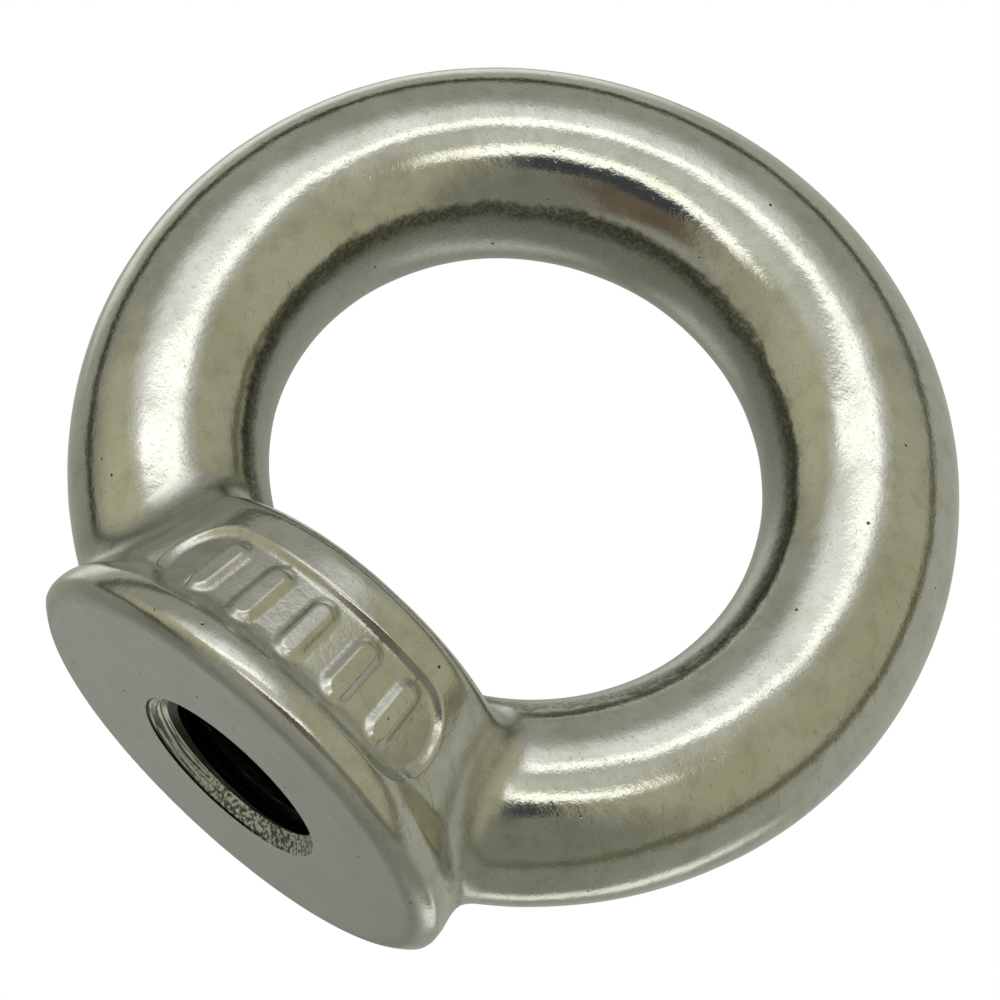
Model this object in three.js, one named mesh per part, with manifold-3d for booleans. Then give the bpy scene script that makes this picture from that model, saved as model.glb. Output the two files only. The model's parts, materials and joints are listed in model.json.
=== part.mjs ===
// Lifting eye nut, M10 female thread: a ring of round bar that grows out of a tapered round collar.
// The whole nut is one casting, so it is one closed body. Millimetres, +Z up.
// The origin is the centre of the ground seating face, +Z runs along the thread towards the eye,
// the ring lies in the XZ plane, and the marking panel faces -Y.
import * as THREE from "three";
import Module from "manifold-3d";
import { mergeVertices } from "three/addons/utils/BufferGeometryUtils.js";

// Driving dimensions
const EYE_DIAMETER = 25;
const BAR_DIAMETER = 10;
const EYE_CENTRE_HEIGHT = 21.8;
const FOOT_DIAMETER = 25;
const FOOT_FACE_DIAMETER = 22.3;
const FOOT_EDGE_HEIGHT = 1.4;
const FOOT_HEIGHT = 2.1;
const BOSS_ROOT_RADIUS = 11.6;
const BOSS_ROOT_HEIGHT = 2.8;
const BOSS_SHOULDER_RADIUS = 10.45;
const BOSS_EDGE_RADIUS = 0.9;
const THREAD_MAJOR_DIAMETER = 10;
const THREAD_MINOR_DIAMETER = 8.376;
const THREAD_PITCH = 1.5;
const LEAD_IN_DIAMETER = 10.7;
const LEAD_IN_DEPTH = 1.05;
const EXIT_DIAMETER = 10.3;
const EXIT_DEPTH = 0.6;
const PANEL_WIDTH = 15;
const PANEL_BOTTOM = 2.6;
const PANEL_TOP = 7.0;
const PANEL_DEPTH = 0.35;
const MARK_COUNT = 5;
const MARK_WIDTH = 1.4;
const MARK_HEIGHT = 3.2;
const MARK_SPACING_ANGLE = THREE.MathUtils.degToRad(14.5);
const MARK_CENTRE_HEIGHT = 4.9;
const MARK_DEPTH_BELOW_BOSS = 0.1;

// Facet counts
const RING_SEGMENTS = 64;
const BAR_SEGMENTS = 24;
const COLLAR_SEGMENTS = 72;
const BORE_SEGMENTS = 36;
const THREAD_STEPS_PER_TURN = 24;
const EDGE_STEPS = 4;

// How far the cutters run past the metal, and how close two points are to be one
const CLEAR = 2;
const BEYOND = 30;
const GROOVE_OVERLAP = 0.2;
const WELD_DISTANCE = 1e-4;

// Dimensions that follow from them
const barRadius = BAR_DIAMETER / 2;
const ringRadius = EYE_DIAMETER / 2 + barRadius;
const bossTop = EYE_CENTRE_HEIGHT - EYE_DIAMETER / 2;
const shoulderHeight = bossTop - BOSS_EDGE_RADIUS;
const boreRadius = THREAD_MINOR_DIAMETER / 2;
const rootRadius = THREAD_MAJOR_DIAMETER / 2;

const wasm = await Module();
wasm.setup();

// A closed three.js geometry as a solid, for joining and cutting
function toSolid(geometry) {
  const positions = geometry.clone();
  positions.deleteAttribute("normal");
  positions.deleteAttribute("uv");
  const welded = mergeVertices(positions, WELD_DISTANCE);
  return new wasm.Manifold(new wasm.Mesh({
    numProp: 3,
    vertProperties: new Float32Array(welded.attributes.position.array),
    triVerts: new Uint32Array(welded.index.array),
  }));
}

// A solid back as a three.js geometry, ready for a mesh
function toGeometry(solid) {
  const mesh = solid.getMesh();
  const geometry = new THREE.BufferGeometry();
  geometry.setAttribute("position", new THREE.BufferAttribute(mesh.vertProperties, 3));
  geometry.setIndex(new THREE.BufferAttribute(mesh.triVerts, 1));
  geometry.computeVertexNormals();
  return geometry;
}

// A profile of [radius, height] points, bottom to top, turned about the thread axis
function turned(profile, segments) {
  const points = profile.map(([radius, height]) => new THREE.Vector2(radius, height));
  return toSolid(new THREE.LatheGeometry(points, segments).rotateX(Math.PI / 2));
}

// Points of a quarter round from one angle to another, as [radius, height]
function arc(centreRadius, centreHeight, radius, heightRadius, startAngle, endAngle) {
  const points = [];
  for (let step = 0; step <= EDGE_STEPS; step += 1) {
    const angle = startAngle + (endAngle - startAngle) * step / EDGE_STEPS;
    points.push([
      centreRadius + radius * Math.cos(angle),
      centreHeight + heightRadius * Math.sin(angle),
    ]);
  }
  return points;
}

// The collar: a ground foot with a rounded rim, then a tapered boss with a rounded top edge.
// inset moves the boss flank inwards, which gives the floor of the panel and the face of its marks.
function collarProfile(inset) {
  const footRadius = FOOT_DIAMETER / 2;
  const faceRadius = FOOT_FACE_DIAMETER / 2;
  return [
    [0, 0],
    ...arc(faceRadius, FOOT_EDGE_HEIGHT, footRadius - faceRadius, FOOT_EDGE_HEIGHT, -Math.PI / 2, 0),
    [footRadius, FOOT_HEIGHT],
    [BOSS_ROOT_RADIUS - inset, BOSS_ROOT_HEIGHT],
    ...arc(
      BOSS_SHOULDER_RADIUS - BOSS_EDGE_RADIUS - inset, shoulderHeight,
      BOSS_EDGE_RADIUS, BOSS_EDGE_RADIUS, 0, Math.PI / 2,
    ),
    [0, bossTop],
  ];
}

// The ring, a torus standing on the thread axis
function ring() {
  const torus = new THREE.TorusGeometry(ringRadius, barRadius, BAR_SEGMENTS, RING_SEGMENTS);
  return toSolid(torus.rotateX(Math.PI / 2).translate(0, 0, EYE_CENTRE_HEIGHT));
}

// Everything below the seating face, which the ring's round would otherwise break through
function belowSeat() {
  const slab = new THREE.BoxGeometry(BEYOND * 2, BEYOND * 2, CLEAR);
  return toSolid(slab.translate(0, 0, -CLEAR / 2));
}

// A bar with round ends, drawn upright about its own centre
function roundEnded(width, height) {
  const radius = Math.min(width, height) / 2;
  const x = width / 2 - radius;
  const y = height / 2 - radius;
  const shape = new THREE.Shape();
  shape.absarc(x, y, radius, 0, Math.PI / 2);
  shape.absarc(-x, y, radius, Math.PI / 2, Math.PI);
  shape.absarc(-x, -y, radius, Math.PI, Math.PI * 1.5);
  shape.absarc(x, -y, radius, Math.PI * 1.5, Math.PI * 2);
  return shape;
}

// An upright round-ended bar run out from the axis, facing -Y turned by the given angle
function radialBar(width, height, centreHeight, angle) {
  const bar = new THREE.ExtrudeGeometry(roundEnded(width, height), {
    depth: BEYOND, bevelEnabled: false, curveSegments: EDGE_STEPS,
  });
  return toSolid(bar.rotateX(Math.PI / 2).translate(0, 0, centreHeight).rotateZ(angle));
}

// The marking panel: a shallow recess that wraps round the boss, less the plain bars raised in it
function panelRecess() {
  const panelHeight = PANEL_TOP - PANEL_BOTTOM;
  const panelCentre = (PANEL_TOP + PANEL_BOTTOM) / 2;
  const floor = turned(collarProfile(PANEL_DEPTH), COLLAR_SEGMENTS);
  const markFace = turned(collarProfile(MARK_DEPTH_BELOW_BOSS), COLLAR_SEGMENTS);
  let recess = radialBar(PANEL_WIDTH, panelHeight, panelCentre, 0).subtract(floor);
  for (let mark = 0; mark < MARK_COUNT; mark += 1) {
    const angle = (mark - (MARK_COUNT - 1) / 2) * MARK_SPACING_ANGLE;
    const bar = radialBar(MARK_WIDTH, MARK_HEIGHT, MARK_CENTRE_HEIGHT, angle);
    recess = recess.subtract(bar.intersect(markFace));
  }
  return recess;
}

// A helix about +Z whose frames keep a swept section square to the axis
class Helix extends THREE.Curve {
  constructor(radius, pitch, startHeight, turns) {
    super();
    this.radius = radius;
    this.pitch = pitch;
    this.startHeight = startHeight;
    this.turns = turns;
  }

  getPoint(t, target = new THREE.Vector3()) {
    const angle = t * this.turns * Math.PI * 2;
    const height = this.startHeight + t * this.turns * this.pitch;
    return target.set(this.radius * Math.cos(angle), this.radius * Math.sin(angle), height);
  }

  getPointAt(t, target) {
    return this.getPoint(t, target);
  }

  computeFrenetFrames(steps) {
    const tangents = [];
    const normals = [];
    const binormals = [];
    for (let step = 0; step <= steps; step += 1) {
      const angle = step / steps * this.turns * Math.PI * 2;
      tangents.push(new THREE.Vector3(-Math.sin(angle), Math.cos(angle), 0));
      normals.push(new THREE.Vector3(Math.cos(angle), Math.sin(angle), 0));
      binormals.push(new THREE.Vector3(0, 0, -1));
    }
    return { tangents, normals, binormals };
  }
}

// The groove of the thread: a 60 degree vee with a flat root, one eighth of the pitch wide
function threadGroove() {
  const flankSlope = Math.tan(Math.PI / 6);
  const innerRadius = boreRadius - GROOVE_OVERLAP;
  const rootHalf = THREAD_PITCH / 16;
  const mouthHalf = rootHalf + (rootRadius - innerRadius) * flankSlope;
  const section = new THREE.Shape([
    new THREE.Vector2(innerRadius - rootRadius, -mouthHalf),
    new THREE.Vector2(0, -rootHalf),
    new THREE.Vector2(0, rootHalf),
    new THREE.Vector2(innerRadius - rootRadius, mouthHalf),
  ]);
  const turns = Math.ceil((bossTop + CLEAR * 2) / THREAD_PITCH);
  const groove = new THREE.ExtrudeGeometry(section, {
    steps: turns * THREAD_STEPS_PER_TURN,
    bevelEnabled: false,
    extrudePath: new Helix(rootRadius, THREAD_PITCH, -THREAD_PITCH, turns),
  });
  return toSolid(groove);
}

// The tapped hole: plain bore, a steep lead-in at the seat and a small chamfer into the eye
function tappedHole() {
  const mouth = LEAD_IN_DIAMETER / 2;
  const exitRadius = EXIT_DIAMETER / 2;
  const exitStart = bossTop - EXIT_DEPTH;
  const bore = turned([
    [0, -CLEAR],
    [mouth, -CLEAR],
    [mouth, 0],
    [boreRadius, LEAD_IN_DEPTH],
    [boreRadius, exitStart - (exitRadius - boreRadius)],
    [exitRadius, exitStart],
    [exitRadius, bossTop + CLEAR],
    [0, bossTop + CLEAR],
  ], BORE_SEGMENTS);
  return bore.add(threadGroove());
}

// The eye nut: ring and collar joined, ground flat, marked and tapped
function eyeNut() {
  const body = ring().add(turned(collarProfile(0), COLLAR_SEGMENTS));
  const finished = body.subtract(belowSeat()).subtract(panelRecess()).subtract(tappedHole());
  const steel = new THREE.MeshStandardMaterial({ color: 0x9c9a8e, roughness: 0.22, metalness: 1 });
  const mesh = new THREE.Mesh(toGeometry(finished), steel);
  mesh.name = "eye_nut";
  return mesh;
}

const group = new THREE.Group();
group.add(eyeNut());

export default group;
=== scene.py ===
# %% [markdown]
# # A lifting eye nut
# A lifting eye nut screws onto a stud and gives a crane hook or a shackle something to hold.
# The real one is a single casting in stainless steel: a ring of round bar that grows out of a
# round collar, with a threaded hole up the middle. It is polished all over, ground flat
# where it sits, and left rough inside the panel that carries its marks.
# This script models that casting as one mesh and gives each surface its own finish.

import json
import math
from types import SimpleNamespace

import bmesh
import bpy
import numpy as np
from mathutils import Matrix, Quaternion, Vector, noise

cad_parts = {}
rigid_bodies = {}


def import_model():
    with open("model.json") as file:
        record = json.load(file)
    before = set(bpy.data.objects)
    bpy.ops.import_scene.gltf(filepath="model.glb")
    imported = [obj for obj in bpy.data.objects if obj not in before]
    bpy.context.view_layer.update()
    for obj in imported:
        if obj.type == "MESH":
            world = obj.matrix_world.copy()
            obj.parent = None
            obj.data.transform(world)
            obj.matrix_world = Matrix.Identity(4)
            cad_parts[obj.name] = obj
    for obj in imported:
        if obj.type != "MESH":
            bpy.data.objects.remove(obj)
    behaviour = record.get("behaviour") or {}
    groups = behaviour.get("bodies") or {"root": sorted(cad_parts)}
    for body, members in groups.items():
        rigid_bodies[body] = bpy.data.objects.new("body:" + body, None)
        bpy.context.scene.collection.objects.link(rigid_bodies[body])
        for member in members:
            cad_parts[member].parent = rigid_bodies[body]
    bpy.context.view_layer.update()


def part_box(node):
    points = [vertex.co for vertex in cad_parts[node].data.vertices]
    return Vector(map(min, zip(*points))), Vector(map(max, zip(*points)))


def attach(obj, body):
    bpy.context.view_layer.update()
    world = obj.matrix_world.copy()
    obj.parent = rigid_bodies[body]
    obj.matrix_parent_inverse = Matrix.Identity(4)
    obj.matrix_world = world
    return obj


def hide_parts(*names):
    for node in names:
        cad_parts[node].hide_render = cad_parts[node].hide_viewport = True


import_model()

# %% [markdown]
# ## Sizes
# The engineering model fixes the outside sizes, so they are read from it: half its width is the
# ring's outer radius, half its depth is the foot's radius, and its height places the eye. The
# rest are the sizes of this pattern of nut, written in millimetres and turned into metres.

# %% Driving sizes, in metres
MM = 0.001
lowest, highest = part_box("eye_nut")
ring_outer = highest.x
foot_radius = highest.y
bar_radius = 5 * MM
ring_radius = ring_outer - bar_radius
eye_height = highest.z - ring_outer
boss_top = eye_height - ring_radius + bar_radius

foot_edge = 1.35 * MM
foot_edge_height = 1 * MM
foot_height = 2.6 * MM
foot_top_edge = 1.5 * MM
boss_root_radius = 11.6 * MM
boss_root_height = 2.8 * MM
boss_top_radius = 10.3 * MM
boss_edge = 0.9 * MM
boss_fillet = 0.9 * MM
foot_spare = 0.1 * MM  # room for the fillets, which swell the foot a little
ring_fillet = 1.35 * MM

panel_bottom = 2.2 * MM
panel_top = 7 * MM
panel_half_length = 8.3 * MM
panel_depth = 0.33 * MM
panel_wall = 0.55 * MM
mark_count = 5
mark_pitch = 2.78 * MM
mark_half_width = 0.62 * MM
mark_half_height = 1.7 * MM
mark_centre = 4.75 * MM
mark_rise = 0.31 * MM
mark_wall = 0.6 * MM

thread_pitch = 1.5 * MM
thread_major = 5 * MM
thread_minor = 4.188 * MM
lead_in_radius = 5.35 * MM
lead_in_depth = 0.75 * MM
lead_in_inner_radius = 4.65 * MM
lead_in_end = lead_in_depth + 0.3 * MM
exit_radius = thread_major + 0.15 * MM
exit_chamfer_top = boss_top - 0.5 * MM
exit_start = boss_top - 1.6 * MM

# Two points closer than this are one
WELD = 0.001 * MM
print(f"ring {2 * ring_outer / MM:.1f} mm across, eye centre {eye_height / MM:.1f} mm up,",
      f"boss top {boss_top / MM:.1f} mm up")

# %% [markdown]
# ## The camera
# The nut is seen from below its seat and a little to one side, rolled so that it leans over. A
# long lens from 16 cm away keeps the strong foreshortening of a close view without any shift.

# %% Camera
view_azimuth = math.radians(10.65)
view_elevation = math.radians(21.48)
view_roll = math.radians(43.17)
view_distance = 160.1 * MM
aim = Vector((0.36, 0.09, 19.94)) * MM

looking = Vector((-math.sin(view_azimuth) * math.cos(view_elevation),
                  math.cos(view_azimuth) * math.cos(view_elevation),
                  math.sin(view_elevation)))
camera = bpy.data.objects.new("camera", bpy.data.cameras.new("camera"))
bpy.context.scene.collection.objects.link(camera)
camera.location = aim - looking * view_distance
camera.rotation_mode = "QUATERNION"
camera.rotation_quaternion = looking.to_track_quat("-Z", "Y") @ Quaternion((0, 0, 1), view_roll)
camera.data.sensor_width = 36
camera.data.lens = 115.1
camera.data.clip_start = 1 * MM
camera.data.clip_end = 10
bpy.context.scene.camera = camera
print("camera at", [round(v / MM, 1) for v in camera.location], "mm")

# %% [markdown]
# ## The shape as a formula
# A casting has no sharp inner corners: where the ring meets the collar the metal flows in a
# fillet. Bevels can't follow that seam, because it crosses two curved surfaces. So the shape is
# also written as a distance formula, which is negative inside the metal and zero on its skin. Two
# formulas join with a round fillet of any radius, and a rough mesh can then be pulled onto the
# zero surface, which gives exact rounds and smooth reflections.

# %% Distance formulas
def join_round(a, b, radius):
    """The union of two shapes, with a fillet of that radius where they meet."""
    reach = np.hypot(np.maximum(radius - a, 0), np.maximum(radius - b, 0))
    return np.maximum(radius, np.minimum(a, b)) - reach


def cut_round(a, b, radius):
    """What two shapes have in common, with a rounded edge of that radius."""
    reach = np.hypot(np.maximum(radius + a, 0), np.maximum(radius + b, 0))
    return np.minimum(-radius, np.maximum(a, b)) + reach


def ring_distance(p):
    across = np.hypot(p[:, 0], p[:, 2] - eye_height) - ring_radius
    return np.hypot(across, p[:, 1]) - bar_radius


def foot_distance(p):
    out, up = np.hypot(p[:, 0], p[:, 1]), p[:, 2]
    underside = -up * foot_edge / foot_edge_height
    foot = cut_round(out - foot_radius + foot_spare, underside, foot_edge)
    return cut_round(foot, up - foot_height, foot_top_edge)


def boss_distance(p):
    out, up = np.hypot(p[:, 0], p[:, 1]), p[:, 2]
    slope = (boss_root_radius - boss_top_radius) / (boss_top - boss_root_height)
    flank = (out - boss_root_radius + (up - boss_root_height) * slope) / math.hypot(1, slope)
    return np.maximum(cut_round(flank, up - boss_top, boss_edge), foot_edge_height - up)


def collar_distance(p):
    return join_round(foot_distance(p), boss_distance(p), boss_fillet)


def nut_distance(p):
    return np.maximum(join_round(ring_distance(p), collar_distance(p), ring_fillet), -p[:, 2])


eye_centre = np.array([[0, 0, eye_height]])
print("from the eye's centre to the metal:", round(nut_distance(eye_centre)[0] / MM, 2), "mm")

# %% [markdown]
# ## Pulling a mesh onto the formula
# The distance falls fastest straight towards the skin. So a vertex finds the skin by stepping
# down that slope by the distance that is left, a few times. Blender's own smoothing, between
# such steps, keeps the vertices evenly spaced.

# %% Pull and relax
def coordinates(shape):
    flat = np.empty(len(shape.vertices) * 3)
    shape.vertices.foreach_get("co", flat)
    return flat.reshape(-1, 3)


def gradient(distance, p, step=0.002 * MM):
    """The direction in which the distance grows, at each point."""
    slopes = []
    for axis in np.eye(3) * step:
        slopes.append((distance(p + axis) - distance(p - axis)) / (2 * step))
    return np.stack(slopes, axis=1)


def pull(points, distance, rounds=4):
    """Moves points along the gradient until the distance is zero."""
    for _ in range(rounds):
        slope = gradient(distance, points)
        steepness = np.maximum((slope ** 2).sum(axis=1, keepdims=True), 0.25)
        points = points - slope * distance(points)[:, None] / steepness
    return points


def relax(bm, distance, rounds, verts=None):
    """Evens out the spacing of the vertices, and pulls them back onto the formula each time."""
    verts = verts or list(bm.verts)
    for _ in range(rounds):
        bmesh.ops.smooth_vert(bm, verts=verts, factor=0.5, use_axis_x=True, use_axis_y=True,
                              use_axis_z=True)
        pulled = pull(np.array([v.co for v in verts]), distance, rounds=2)
        for vert, place in zip(verts, pulled):
            vert.co = place


probe = pull(np.array([[ring_outer + 1 * MM, 0, eye_height]]), nut_distance)
print("a point 1 mm outside the ring is pulled to", [round(v / MM, 3) for v in probe[0]], "mm")

# %% [markdown]
# ## A rough body
# The rough body is two plain turned shapes. The ring is a circle spun round the eye's axis, and
# the collar is a profile of a few points spun round the thread's axis.

# %% Ring and collar blanks
BAR_STEPS = 64
RING_STEPS = 192
COLLAR_STEPS = 160


def new_object(name, bm):
    data = bpy.data.meshes.new(name)
    bm.to_mesh(data)
    bm.free()
    made = bpy.data.objects.new(name, data)
    bpy.context.scene.collection.objects.link(made)
    return made


def spun(bm, centre, axis, steps):
    """Spins everything in the bmesh through a full turn and closes the seam."""
    bmesh.ops.spin(bm, geom=bm.verts[:] + bm.edges[:], cent=centre, axis=axis,
                   angle=2 * math.pi, steps=steps, use_merge=True)
    bmesh.ops.remove_doubles(bm, verts=bm.verts[:], dist=WELD)
    bmesh.ops.recalc_face_normals(bm, faces=bm.faces[:])


def ring_blank():
    bm = bmesh.new()
    section = Matrix.Translation((ring_radius, 0, eye_height))
    bmesh.ops.create_circle(bm, segments=BAR_STEPS, radius=bar_radius, matrix=section)
    spun(bm, (0, 0, eye_height), (0, 1, 0), RING_STEPS)
    return new_object("ring_blank", bm)


def profile_edges(bm, profile):
    """Joins [radius, height] points into a chain of edges in the XZ plane."""
    verts = [bm.verts.new((radius, 0, height)) for radius, height in profile]
    for start, end in zip(verts, verts[1:]):
        bm.edges.new((start, end))


def collar_blank():
    bm = bmesh.new()
    profile_edges(bm, [
        (0, 0),
        (foot_radius, 0),
        (foot_radius, foot_height),
        (boss_root_radius, foot_height),
        (boss_top_radius, boss_top),
        (0, boss_top),
    ])
    spun(bm, (0, 0, 0), (0, 0, 1), COLLAR_STEPS)
    return new_object("collar_blank", bm)


ring = ring_blank()
collar = collar_blank()
print("ring blank:", len(ring.data.polygons), "faces; collar blank:", len(collar.data.polygons))

# %% [markdown]
# ## One skin
# A Boolean modifier joins the blanks, and a Remesh modifier lays one even net of squares over the
# whole body. Then the net is relaxed and pulled onto the formula, which rounds the edges and
# flows the fillets.

# %% Join and remesh
NET = 0.3 * MM


def baked(made, name):
    """A new object whose mesh is what the modifiers of the given one make."""
    graph = bpy.context.evaluated_depsgraph_get()
    data = bpy.data.meshes.new_from_object(made.evaluated_get(graph))
    bpy.data.objects.remove(made)
    result = bpy.data.objects.new(name, data)
    bpy.context.scene.collection.objects.link(result)
    return result


union = collar.modifiers.new("join", "BOOLEAN")
union.operation = "UNION"
union.solver = "EXACT"
union.object = ring
net = collar.modifiers.new("net", "REMESH")
net.mode = "VOXEL"
net.voxel_size = NET
body = baked(collar, "body")
bpy.data.objects.remove(ring)

bm = bmesh.new()
bm.from_mesh(body.data)
relax(bm, nut_distance, rounds=6)
bm.to_mesh(body.data)
bm.free()
print("one skin:", len(body.data.polygons), "faces, off the formula by at most",
      round(float(np.abs(nut_distance(coordinates(body.data))).max() / MM), 4), "mm")

# %% [markdown]
# ## The marking panel
# One side of the collar has a shallow panel with raised marks, left as the mould made it. Here
# the marks are plain bars. A displacement map would need the collar unwrapped, so the panel is a
# term of the formula instead: its depth is added inside a round-ended slot, which is measured
# along the collar's round, and taken away again at each mark.

# %% Panel formula
panel_radius = (panel_top - panel_bottom) / 2
panel_centre = (panel_top + panel_bottom) / 2
unroll_radius = boss_root_radius - 0.6 * MM


def smooth_step(value, start, end):
    """0 before start, 1 after end, and a smooth ramp between them."""
    share = np.clip((value - start) / (end - start), 0, 1)
    return share * share * (3 - 2 * share)


def unrolled(p):
    """Distance along the collar's round from the middle of its front, and height."""
    return np.arctan2(p[:, 0], -p[:, 1]) * unroll_radius, p[:, 2]


def slot_distance(along, up, half_length, half_height):
    """Distance from the edge of a round-ended slot, negative inside it."""
    radius = min(half_length, half_height)
    x = np.maximum(np.abs(along) - (half_length - radius), 0)
    y = np.maximum(np.abs(up) - (half_height - radius), 0)
    return np.hypot(x, y) - radius


def panel_mask(p):
    along, up = unrolled(p)
    inside = slot_distance(along, up - panel_centre, panel_half_length, panel_radius)
    front = (ring_distance(p) > 0) & (p[:, 1] < 0)
    return (1 - smooth_step(inside, -panel_wall / 2, panel_wall / 2)) * front


def mark_mask(p):
    along, up = unrolled(p)
    tops = np.zeros(len(p))
    for number in range(mark_count):
        place = (number - (mark_count - 1) / 2) * mark_pitch
        inside = slot_distance(along - place, up - mark_centre, mark_half_width, mark_half_height)
        tops = np.maximum(tops, 1 - smooth_step(inside, -mark_wall / 2, mark_wall / 2))
    return tops * (p[:, 1] < 0)


def marked_distance(p):
    return nut_distance(p) + panel_depth * panel_mask(p) - mark_rise * mark_mask(p)


print("panel:", round(2 * panel_half_length / MM, 1), "mm long round the collar,",
      round(2 * panel_radius / MM, 1), "mm high, with", mark_count, "marks")

# %% [markdown]
# ## Pressing the panel in
# The net is too coarse for such small steps. Dividing all of it would make it many times heavier
# for nothing, so only the faces round the panel are divided, and their vertices are pulled onto
# the new formula.

# %% Divide the net round the panel and press it in
PANEL_MARGIN = 0.5 * MM
PANEL_CUTS = 3


def near_panel(face):
    centre = face.calc_center_median()
    along, up = unrolled(np.array([centre]))
    on_flank = centre.y < 0 and math.hypot(centre.x, centre.y) > boss_top_radius - 1 * MM
    within_length = abs(along[0]) < panel_half_length + PANEL_MARGIN
    within_height = panel_bottom - PANEL_MARGIN < up[0] < panel_top + PANEL_MARGIN
    return on_flank and within_length and within_height


bm = bmesh.new()
bm.from_mesh(body.data)
edges = {edge for face in bm.faces if near_panel(face) for edge in face.edges}
before = len(bm.verts)
bmesh.ops.subdivide_edges(bm, edges=list(edges), cuts=PANEL_CUTS, use_grid_fill=True)
dense = list({vert for face in bm.faces if near_panel(face) for vert in face.verts})
relax(bm, nut_distance, rounds=3, verts=dense)
pressed = pull(np.array([vert.co for vert in dense]), marked_distance, rounds=6)
for vert, place in zip(dense, pressed):
    vert.co = place
print("the panel's net has", len(bm.verts) - before, "more vertices")
bm.to_mesh(body.data)
bm.free()

# %% [markdown]
# ## Cast skin
# Polishing by hand leaves a casting slightly wavy, which shows in its reflections. Each point
# sinks by a few hundredths of a millimetre, by a slow noise, except on the ground seat.

# %% Waves
WAVE_DEPTH = 0.05 * MM
WAVE_LENGTH = 4 * MM
places = coordinates(body.data)
outward = gradient(nut_distance, places)
outward /= np.linalg.norm(outward, axis=1, keepdims=True)
waves = np.array([noise.fractal(Vector(place) / WAVE_LENGTH, 1, 2, 2) for place in places])
sink = WAVE_DEPTH * np.clip(0.5 + 0.5 * waves, 0, 1)
sink *= smooth_step(places[:, 2], 0, 0.5 * MM)
places -= outward * sink[:, None]
body.data.vertices.foreach_set("co", places.ravel())
print("waves sink the skin by up to", round(float(sink.max() / MM), 3), "mm")

# %% [markdown]
# ## Masks for the finishes
# The finishes follow places that only the formulas know, so they are stored on the vertices as
# attributes: the panel's raw floor, the crease and the wider fillet between ring and collar, the
# groove above the foot, and the whole collar. Round the ring's bar, eye_angle says how far a
# point has turned from the front or the back, at 0 degrees, to the inside of the eye, at 90.

# %% Store masks
def store(name, values):
    attribute = body.data.attributes.new(name, "FLOAT", "POINT")
    attribute.data.foreach_set("value", values.astype(np.float32))


def within(distance, near, far):
    """1 nearer than near, 0 further than far. Both are in millimetres."""
    return 1 - smooth_step(distance, near * MM, far * MM)


ring_seam = np.maximum(ring_distance(places), collar_distance(places))
foot_seam = np.maximum(foot_distance(places), boss_distance(places))
above_seat = 1 - within(places[:, 2], 0.5, 2)
near_ring = within(np.abs(places[:, 1]), 4, 7)
clear_of_ring = 1 - within(ring_distance(places), 0.2, 1.2)
inward = ring_radius - np.hypot(places[:, 0], places[:, 2] - eye_height)

store("panel_floor", panel_mask(places) * (1 - mark_mask(places)))
store("crease", above_seat * within(ring_seam, 0.1, 0.8))
store("fillet", above_seat * within(ring_seam, 0.3, 2.5))
store("groove", near_ring * within(foot_seam, 0.05, 0.45))
store("collar", np.maximum(clear_of_ring, within(places[:, 2], 1, 2)))
store("eye_angle", np.degrees(np.arctan2(inward, np.abs(places[:, 1]))))
print("masks:", [item.name for item in body.data.attributes if item.data_type == "FLOAT"])

# %% [markdown]
# ## The threaded hole
# The real hole is drilled, widened at its mouth and tapped. A Screw modifier could make a thread,
# but it leaves an open sheet, and a Boolean needs a closed solid. So the tap is made as a solid
# and cut out of the body. One pitch of its outline is spun upwards, so that each turn ends where
# the next begins. Two plain turned cones widen its ends.

# %% Tap
TAP_TURNS = 11
TAP_STEPS = 72


def close_ends(bm, height, above):
    """Cuts the bmesh flat at a height and caps it."""
    cut = bmesh.ops.bisect_plane(bm, geom=bm.verts[:] + bm.edges[:] + bm.faces[:], dist=WELD / 10,
                                 plane_co=(0, 0, height), plane_no=(0, 0, 1),
                                 clear_outer=above, clear_inner=not above)
    rim = [item for item in cut["geom_cut"] if isinstance(item, bmesh.types.BMEdge)]
    bmesh.ops.contextual_create(bm, geom=rim)


def tap():
    bm = bmesh.new()
    flank = (thread_major - thread_minor) * math.tan(math.radians(30))
    crest, root = thread_pitch / 4, thread_pitch / 8
    start = -2 * thread_pitch
    profile_edges(bm, [
        (thread_minor, start),
        (thread_minor, start + crest),
        (thread_major, start + crest + flank),
        (thread_major, start + crest + flank + root),
        (thread_minor, start + thread_pitch),
    ])
    bmesh.ops.spin(bm, geom=bm.verts[:] + bm.edges[:], axis=(0, 0, 1), cent=(0, 0, 0),
                   dvec=(0, 0, thread_pitch / TAP_STEPS), angle=2 * math.pi * TAP_TURNS,
                   steps=TAP_TURNS * TAP_STEPS, use_merge=False)
    bmesh.ops.remove_doubles(bm, verts=bm.verts[:], dist=WELD)
    close_ends(bm, -0.5 * thread_pitch, False)
    close_ends(bm, boss_top + thread_pitch, True)
    bmesh.ops.recalc_face_normals(bm, faces=bm.faces[:])
    return new_object("tap", bm)


thread_tap = tap()
print("tap:", len(thread_tap.data.polygons), "faces")

# %% Cones for the two ends, and the cut
CONE_STEPS = 128


def cone(name, profile):
    bm = bmesh.new()
    profile_edges(bm, profile)
    spun(bm, (0, 0, 0), (0, 0, 1), CONE_STEPS)
    return new_object(name, bm)


def combine(made, other, operation):
    """Joins or cuts one object with another, which is used up."""
    change = made.modifiers.new(operation.lower(), "BOOLEAN")
    change.operation = operation
    change.solver = "EXACT"
    change.object = other
    result = baked(made, made.name + "_" + operation.lower())
    bpy.data.objects.remove(other)
    return result


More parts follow.
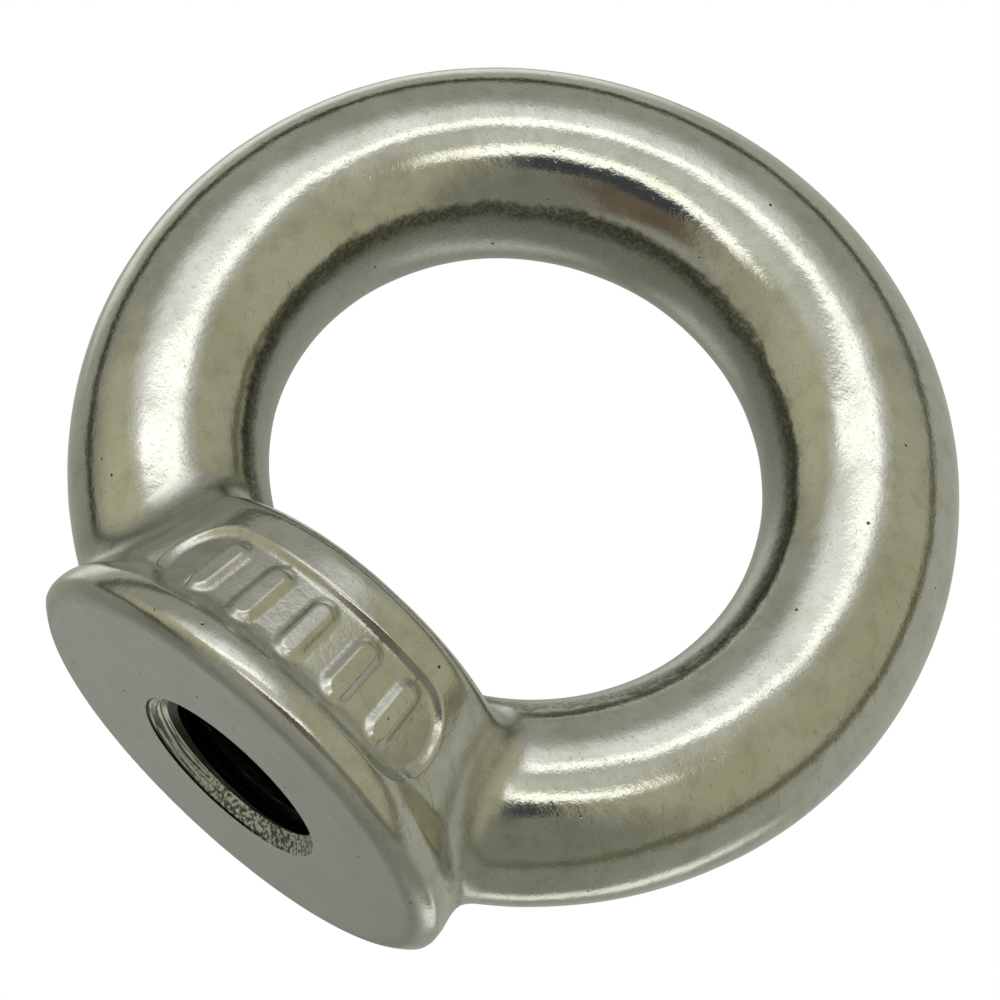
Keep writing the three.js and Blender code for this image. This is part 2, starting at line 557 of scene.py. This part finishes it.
hidden_radius = thread_minor - 0.1 * MM  # just inside the tap, so no faces coincide
below_seat = -1 * MM
above_boss = boss_top + 2 * MM
lead_in = cone("lead_in", [
    (0, below_seat),
    (lead_in_radius, below_seat),
    (lead_in_radius, 0),
    (lead_in_inner_radius, lead_in_depth),
    (hidden_radius, lead_in_end),
    (0, lead_in_end),
])
lead_out = cone("lead_out", [
    (0, exit_start),
    (hidden_radius, exit_start),
    (exit_radius, exit_chamfer_top),
    (exit_radius, above_boss),
    (0, above_boss),
])
cutter = combine(combine(thread_tap, lead_in, "UNION"), lead_out, "UNION")
body = combine(body, cutter, "DIFFERENCE")
body.name = "eye_nut_casting"
print("tapped body:", len(body.data.polygons), "faces")

# %% [markdown]
# ## Which finish each face has
# The outside is polished, the mouth of the hole is drilled and the thread is cut by the tap. The
# Boolean doesn't keep track of which faces came from the tap, so each face is asked where it is
# and which way it looks. Normals are smooth, apart from edges that turn by more than 40 degrees.

# %% Shading and finishes
CAST, DRILLED, TAPPED = 0, 1, 2
SHARP_ANGLE = math.radians(40)


def finish_of(face):
    """Faces of the hole look towards its axis, and its chamfer at the eye is polished."""
    out = Vector((face.center.x, face.center.y, 0))
    bottom = min(body.data.vertices[index].co.z for index in face.vertices)
    outside = out.length > lead_in_radius or bottom > exit_start - 0.05 * MM
    if outside or face.normal.dot(out.normalized()) > -0.2:
        return CAST
    return DRILLED if face.center.z < lead_in_depth else TAPPED


body.data.shade_smooth()
body.data.set_sharp_from_angle(angle=SHARP_ANGLE)
finishes = [finish_of(face) for face in body.data.polygons]
print("cast, drilled and tapped faces:", [finishes.count(n) for n in (CAST, DRILLED, TAPPED)])

# %% [markdown]
# ## Shader sums as Python sums
# A wire is one socket of a shader. Adding, taking away or multiplying wires adds Math
# nodes, so that a mask reads like a formula. Any other node comes from Wire.node.

# %% Wires
class Wire:
    """A socket of a node tree, which Python's operators work on."""

    def __init__(self, tree, socket=None):
        self.tree = tree
        self.socket = socket

    def node(self, kind, settings=None, inputs=None, output=0):
        """Adds a node, gives it its settings and then its sockets, and returns an output."""
        made = self.tree.nodes.new(kind)
        for name, value in (settings or {}).items():
            setattr(made, name, value)
        for name, value in (inputs or {}).items():
            if isinstance(value, Wire):
                self.tree.links.new(value.socket, made.inputs[name])
            else:
                made.inputs[name].default_value = value
        return Wire(self.tree, made.outputs[output])

    def maths(self, operation, first, second):
        return self.node("ShaderNodeMath", {"operation": operation}, {0: first, 1: second})

    def __add__(self, other):
        return self.maths("ADD", self, other)

    def __radd__(self, other):
        return self.maths("ADD", other, self)

    def __sub__(self, other):
        return self.maths("SUBTRACT", self, other)

    def __rsub__(self, other):
        return self.maths("SUBTRACT", other, self)

    def __mul__(self, other):
        return self.maths("MULTIPLY", self, other)

    def __rmul__(self, other):
        return self.maths("MULTIPLY", other, self)

    def __truediv__(self, other):
        return self.maths("DIVIDE", self, other)

    def __abs__(self):
        return self.maths("ABSOLUTE", self, 0)

    def step(self, start, end, low=0, high=1):
        """A smooth ramp from low, at start, to high, at end."""
        return self.node("ShaderNodeMapRange", {"interpolation_type": "SMOOTHSTEP"}, {
            "Value": self, "From Min": start, "From Max": end, "To Min": low, "To Max": high})

    def dot(self, direction):
        """How far this vector reaches along a direction."""
        return self.node("ShaderNodeVectorMath", {"operation": "DOT_PRODUCT"},
                         {0: self, 1: direction}, "Value")

    def mix(self, first, second):
        """Blends two colours by this wire."""
        made = self.tree.nodes.new("ShaderNodeMix")
        made.data_type = "RGBA"
        self.tree.links.new(self.socket, made.inputs[0])
        for socket, colour in ((made.inputs[6], first), (made.inputs[7], second)):
            if isinstance(colour, Wire):
                self.tree.links.new(colour.socket, socket)
            else:
                socket.default_value = (*colour, 1)
        return Wire(self.tree, made.outputs[2])


print("wires can also", [name for name in vars(Wire) if not name.startswith("_")])

# %% Materials and patterns
def new_material(name):
    """A metal material, its Principled shader and a wire to start from."""
    made = bpy.data.materials.new(name)
    made.use_nodes = True
    shader = made.node_tree.nodes["Principled BSDF"]
    shader.inputs["Metallic"].default_value = 1
    made.diffuse_color = (0.6, 0.6, 0.56, 1)
    return made, shader, Wire(made.node_tree)


def connect(shader, sockets):
    tree = shader.id_data
    for name, value in sockets.items():
        tree.links.new(value.socket, shader.inputs[name])


def in_millimetres(start):
    """The place on the object in millimetres, so that a scale of 2 means two waves a millimetre."""
    place = start.node("ShaderNodeTexCoord", output="Object")
    return start.node("ShaderNodeVectorMath", {"operation": "SCALE"}, {0: place, "Scale": 1 / MM})


def stretched(place, scale, turn=(0, 0, 0)):
    """The place turned and then scaled by a different amount along each axis."""
    return place.node("ShaderNodeMapping", {"vector_type": "TEXTURE"},
                      {"Vector": place, "Rotation": turn, "Scale": [1 / s for s in scale]})


def grain(place, scale, detail=2, roughness=0.5):
    return place.node("ShaderNodeTexNoise", {"normalize": True},
                      {"Vector": place, "Scale": scale, "Detail": detail, "Roughness": roughness})


def bump(height, depth, under=None):
    """Bends the normal by a height from 0 to 1 that stands for a depth in metres."""
    inputs = {"Height": height, "Distance": depth, "Strength": 1}
    if under is not None:
        inputs["Normal"] = under
    return height.node("ShaderNodeBump", None, inputs)


# %% [markdown]
# ## Polished cast steel
# Polished stainless steel is a warm grey mirror that isn't quite clear. The wheel leaves a fine
# orange-peel, hairline scratches and small open pits, and stains where it passed lightly. It
# doesn't reach inside the eye, so the metal there is dull, and is painted darker there as painted
# shade, with a band of painted shade along its edge. Grease stays in the creases, and they are
# painted darker as painted shade too. The groove above the foot is darker in patches. The seat is
# ground flat, with fine straight lines, and the floor of the panel is raw. All of this is noise of
# a few sizes, laid where the masks say.

# %% Noises of the casting
PITS_PER_MM = 0.9


def casting_noises(place):
    """Noises from 0 to 1, from slow clouds of colour to the specks that dull the shine."""
    cells = {"Vector": place, "Scale": PITS_PER_MM}
    from_centre = place.node("ShaderNodeTexVoronoi", {"feature": "F1"}, cells)
    lot = place.node("ShaderNodeTexVoronoi", {"feature": "F1"}, cells, "Color").dot((1, 0, 0))
    along_seat = stretched(place, (0.25, 9, 9), (0, 0, 0.12))
    along_wheel = stretched(place, (0.35, 6, 6), (0.5, 0.3, 0.8))
    return SimpleNamespace(
        cloud=grain(place, 0.35, 3),
        stain=grain(place, 0.8, 4, 0.65),
        peel=grain(place, 1.1, 2, 0.5),
        sand=grain(place, 3.6, 3, 0.65),
        fine=grain(place, 4.5, 3, 0.6),
        speck=grain(place, 9, 2, 0.6),
        lines=grain(along_seat, 1, 2, 0.6),
        hairs=grain(along_wheel, 1, 1, 0.5).step(0.68, 0.72),
        pits=from_centre.step(0.09, 0.04) * lot.step(0.75, 0.77),
    )


# %% Masks of the casting
def attribute(start, name):
    return start.node("ShaderNodeAttribute", {"attribute_name": name}, output="Fac")


def casting_masks(start, place, noises):
    """Masks from 0 to 1. The painted shade band wavers, and runs deeper into the eye at its top."""
    height = start.node("ShaderNodeSeparateXYZ", None, {"Vector": place}, "Z")
    collar = attribute(start, "collar")
    deep = attribute(start, "eye_angle") + (noises.stain - 0.5) * 14 - height.step(22, 36) * 8
    return SimpleNamespace(
        seat=height.step(0.45, 0.05),
        raw=attribute(start, "panel_floor"),
        crease=attribute(start, "crease"),
        fillet=attribute(start, "fillet"),
        groove=attribute(start, "groove"),
        collar=collar,
        inside=deep.step(44, 54) * (1 - collar),
        # Painted shade: a dark band along the inner edge of the eye.
        eye_edge_shade=deep.step(43, 48) * deep.step(61, 52) * (1 - collar),
    )


# %% Colour of the casting
def casting_colour(noises, masks):
    tone = noises.cloud.step(0.35, 0.65).mix((0.605, 0.61, 0.535), (0.665, 0.67, 0.605))
    tone = (noises.stain.step(0.45, 0.7) * 0.45).mix(tone, (0.45, 0.44, 0.36))
    tone = (noises.speck.step(0.5, 0.75) * 0.3).mix(tone, (0.42, 0.42, 0.37))

    # Inside the eye the metal is dull, and this darker tone is also painted shade from the ring
    # round it.
    dull = noises.speck.step(0.35, 0.55).mix((0.42, 0.42, 0.39), (0.29, 0.29, 0.26))
    tone = (masks.inside * 0.6).mix(tone, dull)
    ground = noises.lines.step(0.35, 0.6).mix((0.42, 0.43, 0.4), (0.5, 0.51, 0.48))
    tone = masks.seat.mix(tone, ground)
    scores = noises.lines.step(0.62, 0.7) * noises.cloud.step(0.5, 0.6)
    tone = (masks.seat * scores * 0.5).mix(tone, (0.15, 0.15, 0.13))

    # Painted shade with some grease: darker in the crease between ring and collar, and in the band
    # along the eye's inner edge.
    grease_and_painted_shade = (masks.crease * 0.6 + masks.eye_edge_shade * 0.8) * noises.fine.step(0.3, 0.6, 0.55, 1)
    tone = grease_and_painted_shade.mix(tone, (0.08, 0.08, 0.055))
    # Darker in patches along the groove above the foot, near the ring.
    groove_patches = masks.groove * noises.stain.step(0.42, 0.5)
    tone = (groove_patches * 0.9).mix(tone, (0.06, 0.055, 0.04))
    tone = (noises.hairs * 0.3).mix(tone, (0.3, 0.3, 0.27))
    return noises.pits.mix(tone, (0.08, 0.07, 0.06))


# %% Gloss and relief of the casting
def casting_roughness(noises, masks):
    gloss = noises.cloud.step(0.3, 0.7, 0.06, 0.09) + noises.fine * 0.04
    unpolished = masks.seat * (0.2 + noises.lines * 0.1) + masks.raw * 0.12
    hard_to_reach = masks.collar * 0.07 + masks.fillet * 0.18 + masks.inside * 0.18
    return gloss + unpolished + hard_to_reach


def casting_relief(noises, masks):
    polished = (1 - masks.seat) * (1 - masks.raw)
    normal = bump(noises.peel * polished, 0.014 * MM)
    normal = bump(noises.fine * polished, 0.006 * MM, normal)
    normal = bump(noises.speck * (polished * 0.3 + masks.inside), 0.006 * MM, normal)
    normal = bump(noises.sand * masks.raw, 0.03 * MM, normal)
    normal = bump(noises.lines * masks.seat, 0.014 * MM, normal)
    normal = bump(1 - noises.hairs * polished, 0.003 * MM, normal)
    return bump(1 - noises.pits, 0.03 * MM, normal)


def casting_finish():
    made, shader, start = new_material("polished_casting")
    place = in_millimetres(start)
    noises = casting_noises(place)
    masks = casting_masks(start, place, noises)
    connect(shader, {
        "Base Color": casting_colour(noises, masks),
        "Roughness": casting_roughness(noises, masks),
        "Normal": casting_relief(noises, masks),
    })
    return made


polished_casting = casting_finish()
print("casting finish:", len(polished_casting.node_tree.nodes), "nodes")

# %% [markdown]
# ## The hole's finish
# The mouth and the thread are left as the drill and the tap cut them. The drill tore the mouth on
# one side, which is a coarse speckle, and left turning lines on the other. A black line of painted
# shade runs along the seat edge on one side. The thread has fine turning lines, and is painted dark
# as painted shade down the bore.

# %% Mouth and thread finishes
def mouth_finish():
    made, shader, start = new_material("drilled_steel")
    place = in_millimetres(start)
    across = start.node("ShaderNodeSeparateXYZ", None, {"Vector": place}, "X")
    height = start.node("ShaderNodeSeparateXYZ", None, {"Vector": place}, "Z")
    speckle = grain(place, 5, 3, 0.6)
    turning = grain(stretched(place, (0.4, 0.4, 14)), 1, 2, 0.6)
    torn = across.step(-4, 1)
    pattern = torn * speckle + (1 - torn) * turning
    tone = pattern.step(0.42, 0.58).mix((0.14, 0.14, 0.12), (0.8, 0.8, 0.72))
    # Painted shade: a black line along the seat edge of the mouth, on one side.
    seat_edge_shade = height.step(0.14, 0.08) * across.step(3.5, 1)
    tone = seat_edge_shade.mix(tone, (0.01, 0.01, 0.01))
    normal = bump(pattern, 0.05 * MM)
    connect(shader, {"Base Color": tone, "Roughness": pattern * 0.2 + 0.25, "Normal": normal})
    return made


def thread_finish():
    made, shader, start = new_material("tapped_steel")
    place = in_millimetres(start)
    turning = grain(stretched(place, (0.6, 0.6, 14)), 1, 3, 0.6)
    # The thread's dark colour is painted shade down the bore.
    tone = turning.step(0.55, 0.8).mix((0.03, 0.03, 0.025), (0.22, 0.22, 0.19))
    normal = bump(turning, 0.01 * MM)
    connect(shader, {"Base Color": tone, "Roughness": turning * 0.15 + 0.25, "Normal": normal})
    return made


body.data.materials.clear()
for finish in (polished_casting, mouth_finish(), thread_finish()):
    body.data.materials.append(finish)
body.data.polygons.foreach_set("material_index", finishes)
print("materials:", [finish.name for finish in body.data.materials])

# %% [markdown]
# ## Studio
# Polished metal shows only what it mirrors, so the room is the light. Area lamps would do, but
# each would also need its own card and its own dark gap. So the room is drawn in the world's
# shader, as soft panels with a place, a size and a brightness, and each is laid over the last.

# %% Directions and soft panels
def towards(azimuth, elevation):
    """A direction: azimuth 0 is -Y, where the camera is, and grows towards +X."""
    a, e = math.radians(azimuth), math.radians(elevation)
    return Vector((math.sin(a) * math.cos(e), -math.cos(a) * math.cos(e), math.sin(e)))


def soft_panel(direction, azimuth, elevation, roll, width, height, soft):
    """A mask for a rectangle of light. Width and height are in degrees, edge to edge."""
    facing = towards(azimuth, elevation)
    level = Vector((0, 0, 1)).cross(facing).normalized()
    side = Matrix.Rotation(math.radians(roll), 3, facing) @ level
    up = facing.cross(side)
    forward = direction.dot(facing)
    safe = direction.node("ShaderNodeMath", {"operation": "MAXIMUM"}, {0: forward, 1: 0.05})
    mask = forward.step(0.05, 0.15)
    for axis, size in ((side, width), (up, height)):
        half = math.tan(math.radians(size / 2))
        reach = abs(direction.dot(axis)) / safe
        mask = mask * reach.step(half * (1 + soft), half * (1 - soft))
    return mask


world = bpy.data.worlds.new("studio")
bpy.context.scene.world = world
world.use_nodes = True
tree = world.node_tree
tree.nodes.clear()
start = Wire(tree)
direction = start.node("ShaderNodeTexCoord", output="Generated")
print("straight ahead is", [round(v, 2) for v in towards(0, 0)])

# %% [markdown]
# ## The bare room
# The room is dim and a little green, lighter towards its ceiling. The half behind the nut is
# lighter than the half in front, and a bright sheet low behind it lights the ground seat.

# %% Bare room
above = direction.dot((0, 0, 1))
ahead = direction.dot(towards(-9, -6))
front_half = above.step(-0.7, 0.5).mix((0.28, 0.28, 0.23), (0.38, 0.38, 0.34))
back_half = above.step(-0.7, 0.5).mix((0.28, 0.28, 0.24), (0.46, 0.46, 0.41))
room = ahead.step(-0.15, 0).mix(back_half, front_half)
room = direction.dot(towards(200, -26)).step(0.95, 0.998).mix(room, (0.74, 0.74, 0.69))
print("bare room:", len(tree.nodes), "nodes")

# %% [markdown]
# ## Lamps, walls and dark shapes
# The bright lines along the ring are two long lamps, one over the other, tilted like the
# nut. Soft cards round them make the slow fall of light beside the lines. Warm walls give the
# metal its colour, and dark shapes give it depth: without them, steel looks like plaster.

# %% Lamps and cards
def lay(place, size, colour):
    """The room with one more panel: azimuth, elevation, roll, then width, height, softness."""
    return soft_panel(direction, *place, *size).mix(room, colour)


# Two lamps behind the nut, for its back
room = lay((146, -14, -40), (46, 12, 0.5), (1.1, 1.1, 1.04))
room = lay((228, 30, 20), (18, 50, 0.5), (0.95, 0.95, 0.9))
# Warm walls to the right and low on the left
room = lay((42, 18, 0), (72, 84, 0.5), (0.46, 0.455, 0.33))
room = lay((-54, -24, 0), (58, 50, 0.6), (0.53, 0.52, 0.38))
# The glow above the upper lamp, and the card between the lamps
room = lay((-28, 18, 42), (48, 36, 0.8), (0.75, 0.75, 0.73))
room = lay((-30, 18.5, 42), (46, 22, 0.8), (1.1, 1.1, 1.1))
room = lay((-4, -6, 42), (44, 30, 0.5), (0.75, 0.75, 0.69))
# The near part of the table, its shaded side and a brown patch on it
room = lay((-43, -54, 0), (44, 34, 0.8), (0.42, 0.41, 0.31))
room = lay((47, -36, 0), (50, 46, 0.5), (0.24, 0.24, 0.2))
room = lay((12, -48, 0), (28, 34, 0.3), (0.17, 0.135, 0.1))
# The two long lamps, and the dark flag that cuts the lower one short
room = lay((-23, 11, 42), (44, 9, 0.25), (1.75, 1.75, 1.73))
room = lay((2, -14, 42), (50, 10, 0.25), (1.75, 1.75, 1.65))
room = lay((11.5, -24.5, 42), (35, 16, 0.2), (0.06, 0.065, 0.08))
print("with lamps and cards:", len(tree.nodes), "nodes")

# %% [markdown]
# ## The dark gap
# A narrow dark gap runs right round the room between its front and its back. The ring mirrors it
# as the thin dark line near its outer edge. The camera itself sees plain white past the object.

# %% Gap, ground and output
gap = direction.dot((1, 0, 0)).step(-0.5, 0.7).mix((0.07, 0.07, 0.05), (0.17, 0.17, 0.11))
room = abs(ahead + 0.03).step(0.13, 0.04).mix(room, gap)
room = above.step(-0.84, -0.96).mix(room, (0.36, 0.36, 0.31))

seen = start.node("ShaderNodeLightPath", output="Is Camera Ray")
room = seen.mix(room, (1, 1, 1))
background = start.node("ShaderNodeBackground", None, {"Color": room, "Strength": 1})
output = tree.nodes.new("ShaderNodeOutputWorld")
tree.links.new(background.socket, output.inputs["Surface"])
bpy.context.scene.view_settings.view_transform = "Standard"
print("the world lights the room:", len(tree.nodes), "nodes")

# %% [markdown]
# ## Floor
# The nut stands on a pale sheet. The camera looks up from below it, so the sheet is clear from
# underneath. The metal doesn't mirror it either, because the room has its own ground.

# %% Floor
FLOOR_HALF_WIDTH = 0.6


def floor_sheet():
    bm = bmesh.new()
    bmesh.ops.create_grid(bm, x_segments=1, y_segments=1, size=FLOOR_HALF_WIDTH)
    return new_object("floor", bm)


def floor_finish():
    made = bpy.data.materials.new("pale_floor")
    made.use_nodes = True
    shader = made.node_tree.nodes["Principled BSDF"]
    shader.inputs["Base Color"].default_value = (0.86, 0.86, 0.85, 1)
    shader.inputs["Roughness"].default_value = 0.7
    shader.inputs["Emission Color"].default_value = (1, 1, 1, 1)
    shader.inputs["Emission Strength"].default_value = 0.35
    start = Wire(made.node_tree)
    back = start.node("ShaderNodeNewGeometry", output="Backfacing")
    clear = start.node("ShaderNodeBsdfTransparent")
    solid = Wire(made.node_tree, shader.outputs["BSDF"])
    mixed = start.node("ShaderNodeMixShader", None, {0: back, 1: solid, 2: clear})
    output = made.node_tree.nodes["Material Output"]
    made.node_tree.links.new(mixed.socket, output.inputs["Surface"])
    return made


floor_plane = floor_sheet()
floor_plane.data.materials.append(floor_finish())
floor_plane.visible_glossy = False
floor_plane.visible_diffuse = False
floor_plane.visible_shadow = False
print("floor:", 2 * FLOOR_HALF_WIDTH, "m wide")

# %% [markdown]
# ## Hand over to the frame
# The casting stands for the engineering model's node, and it rides on the only body there is.

# %% Ride and finish
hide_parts("eye_nut")
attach(body, "root")
